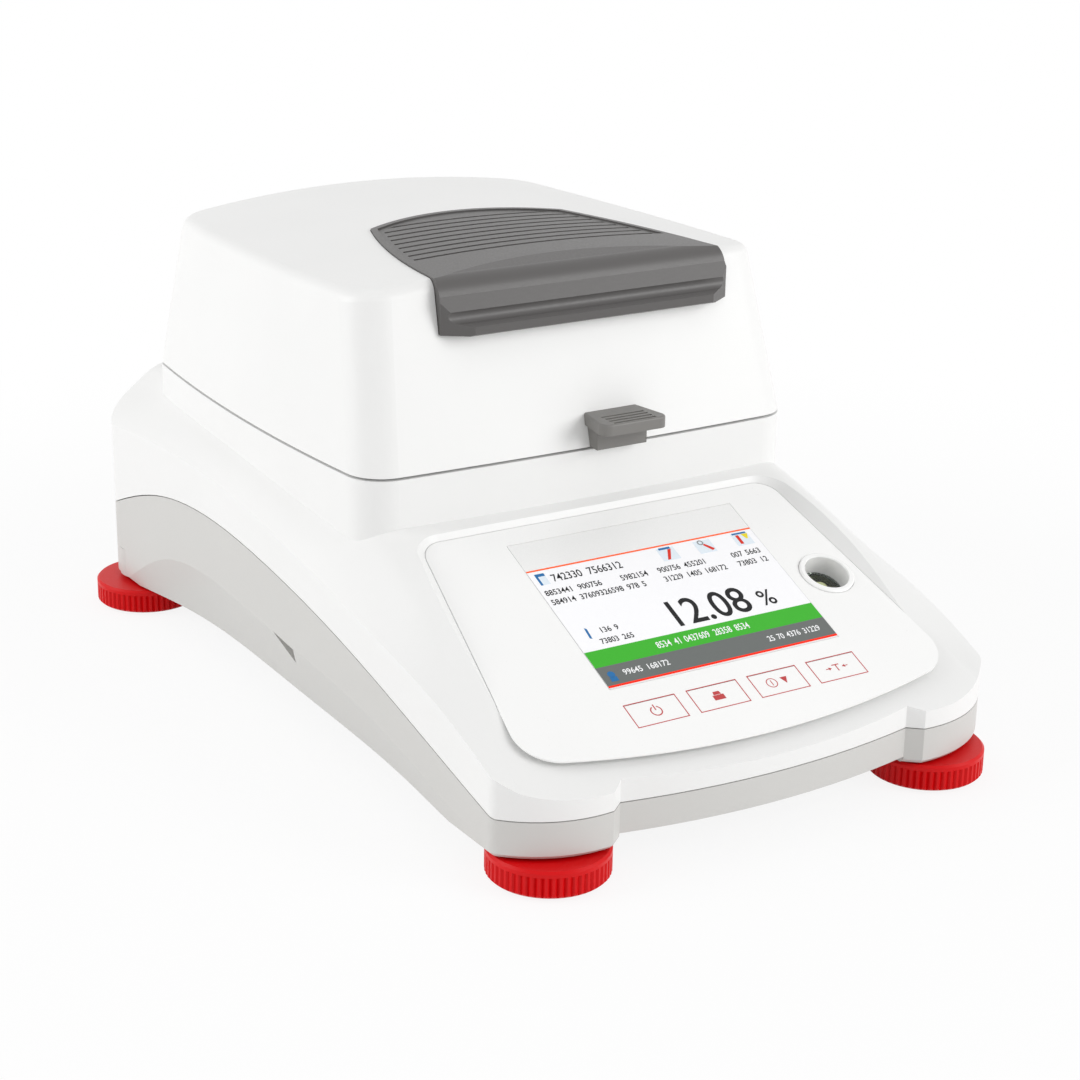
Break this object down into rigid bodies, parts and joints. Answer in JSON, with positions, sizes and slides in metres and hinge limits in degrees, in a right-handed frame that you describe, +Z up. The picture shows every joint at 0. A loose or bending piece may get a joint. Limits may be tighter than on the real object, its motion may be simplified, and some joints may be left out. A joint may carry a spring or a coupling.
{
  "type": "moisture analyzer",
  "caption": "Bench moisture analyzer: a white housing with a sloping display panel and a hinged, louvred heater lid over a balance chamber.",
  "frame": {"origin": "on the bench below the middle of the instrument's overall box", "axes": "+Z up, the operator stands at -Y and looks along +Y, +X to the operator's right"},
  "size_m": [0.2334, 0.3304, 0.1693],
  "materials": {
    "white_housing": "fine spark-eroded texture, off-white",
    "white_lid": "fine spark-eroded texture, off-white",
    "grey_housing": "fine texture, warm light grey",
    "dark_grille": "fine texture, dark warm grey",
    "dark_handle": "satin, dark warm grey",
    "red_foot": "satin moulded red",
    "pad_rubber": "matt black rubber",
    "overlay_film": "printed polyester film, white",
    "key_film": "printed key caps, white",
    "screen": "clear window over a lit display",
    "display_can": "pressed steel frame",
    "level_ring": "smooth white",
    "level_glass": "clear",
    "level_liquid": "tinted liquid",
    "chamber_steel": "drawn stainless steel",
    "wire_steel": "stamped stainless steel",
    "pan_aluminium": "pressed aluminium",
    "milled_aluminium": "milled",
    "plain_steel": "turned",
    "hinge_metal": "dark grey powder coat",
    "insert_brass": "turned",
    "board": "solder-masked circuit board",
    "socket_black": "moulded black",
    "socket_metal": "plated shell",
    "frame_metal": "dark heat-proof coat",
    "seal": "silicone",
    "heater_glass": "clear tempered",
    "reflector": "bright aluminium",
    "lamp_glass": "quartz tube",
    "lamp_socket": "unglazed ceramic"
  },
  "bodies": {
    "base": {"lower_housing": "grey_housing", "upper_housing": "white_housing", "housing_screws": "plain_steel", "panel_overlay": "overlay_film", "display_window": "screen", "display_module": "display_can", "keypad_board": "board", "level_ring": "level_ring", "level_vial": "level_glass", "level_liquid": "level_liquid", "level_lens": "level_glass", "chamber_tub": "chamber_steel", "heat_shield": "chamber_steel", "load_cell": "milled_aluminium", "load_cell_mount": "milled_aluminium", "pan_shaft": "plain_steel", "main_board": "board", "power_supply": "board", "foot_inserts": "insert_brass", "power_inlet": "socket_black", "serial_port": "socket_metal", "usb_host_port": "socket_metal", "usb_device_port": "socket_metal", "lid_bumpers": "pad_rubber", "hinge_brackets": "hinge_metal", "hinge_pins": "plain_steel"},
    "lid": {"lid_shell": "white_lid", "lid_grille": "dark_grille", "lid_handle": "dark_handle", "lid_inner_frame": "frame_metal", "lid_screws": "plain_steel", "glass_seal": "seal", "heater_glass": "heater_glass", "glass_retainer": "plain_steel", "reflector": "reflector", "halogen_lamp": "lamp_glass", "lamp_socket": "lamp_socket", "temperature_sensor": "plain_steel", "lid_hinge_arms": "hinge_metal"},
    "draft_shield": {"draft_shield": "chamber_steel"},
    "pan_support": {"pan_support": "wire_steel"},
    "pan_handler": {"pan_handler": "wire_steel"},
    "sample_pan": {"sample_pan": "pan_aluminium"},
    "key_power": {"key_power": "key_film"},
    "key_print": {"key_print": "key_film"},
    "key_start": {"key_start": "key_film"},
    "key_tare": {"key_tare": "key_film"},
    "foot_pad_fl": {"foot_pad_fl": "pad_rubber"},
    "foot_knob_fl": {"foot_knob_fl": "red_foot"},
    "foot_pad_fr": {"foot_pad_fr": "pad_rubber"},
    "foot_knob_fr": {"foot_knob_fr": "red_foot"},
    "foot_pad_bl": {"foot_pad_bl": "pad_rubber"},
    "foot_knob_bl": {"foot_knob_bl": "red_foot"},
    "foot_pad_br": {"foot_pad_br": "pad_rubber"},
    "foot_knob_br": {"foot_knob_br": "red_foot"}
  },
  "joints": [
    {"name": "lid_hinge", "type": "hinge", "parent": "base", "child": "lid", "pos_m": [0, 0.1525, 0.101], "axis": [-1, 0, 0], "range_deg": [0, 80]},
    {"name": "draft_shield_lift", "type": "slide", "parent": "base", "child": "draft_shield", "axis": [0, 0, 1], "range_m": [0, 0.006]},
    {"name": "pan_support_lift", "type": "slide", "parent": "base", "child": "pan_support", "axis": [0, 0, 1], "range_m": [0, 0.005]},
    {"name": "pan_handler_lift", "type": "slide", "parent": "pan_support", "child": "pan_handler", "axis": [0, 0, 1], "range_m": [0, 0.006]},
    {"name": "sample_pan_lift", "type": "slide", "parent": "pan_handler", "child": "sample_pan", "axis": [0, 0, 1], "range_m": [0, 0.006]},
    {"name": "key_power_press", "type": "slide", "parent": "base", "child": "key_power", "axis": [0, 0.3946, -0.9189], "range_m": [0, 0.0004], "stiffness_N_per_m": 2000, "springref_m": -0.0002},
    {"name": "key_print_press", "type": "slide", "parent": "base", "child": "key_print", "axis": [0, 0.3946, -0.9189], "range_m": [0, 0.0004], "stiffness_N_per_m": 2000, "springref_m": -0.0002},
    {"name": "key_start_press", "type": "slide", "parent": "base", "child": "key_start", "axis": [0, 0.3946, -0.9189], "range_m": [0, 0.0004], "stiffness_N_per_m": 2000, "springref_m": -0.0002},
    {"name": "key_tare_press", "type": "slide", "parent": "base", "child": "key_tare", "axis": [0, 0.3946, -0.9189], "range_m": [0, 0.0004], "stiffness_N_per_m": 2000, "springref_m": -0.0002},
    {"name": "foot_fl_lift", "type": "slide", "parent": "base", "child": "foot_pad_fl", "axis": [0, 0, -1], "range_m": [0, 0.006]},
    {"name": "foot_fl_turn", "type": "hinge", "parent": "foot_pad_fl", "child": "foot_knob_fl", "pos_m": [-0.0782, -0.1445, 0], "axis": [0, 0, -1], "range_deg": [0, 1727]},
    {"name": "foot_fr_lift", "type": "slide", "parent": "base", "child": "foot_pad_fr", "axis": [0, 0, -1], "range_m": [0, 0.006]},
    {"name": "foot_fr_turn", "type": "hinge", "parent": "foot_pad_fr", "child": "foot_knob_fr", "pos_m": [0.0782, -0.1445, 0], "axis": [0, 0, -1], "range_deg": [0, 1727]},
    {"name": "foot_bl_lift", "type": "slide", "parent": "base", "child": "foot_pad_bl", "axis": [0, 0, -1], "range_m": [0, 0.006]},
    {"name": "foot_bl_turn", "type": "hinge", "parent": "foot_pad_bl", "child": "foot_knob_bl", "pos_m": [-0.096, 0.1445, 0], "axis": [0, 0, -1], "range_deg": [0, 1727]},
    {"name": "foot_br_lift", "type": "slide", "parent": "base", "child": "foot_pad_br", "axis": [0, 0, -1], "range_m": [0, 0.006]},
    {"name": "foot_br_turn", "type": "hinge", "parent": "foot_pad_br", "child": "foot_knob_br", "pos_m": [0.096, 0.1445, 0], "axis": [0, 0, -1], "range_deg": [0, 1727]}
  ],
  "couplings": [
    {"joint": "foot_fl_lift", "follows": "foot_fl_turn", "m_per_rad": 0.00019894},
    {"joint": "foot_fr_lift", "follows": "foot_fr_turn", "m_per_rad": 0.00019894},
    {"joint": "foot_bl_lift", "follows": "foot_bl_turn", "m_per_rad": 0.00019894},
    {"joint": "foot_br_lift", "follows": "foot_br_turn", "m_per_rad": 0.00019894}
  ]
}
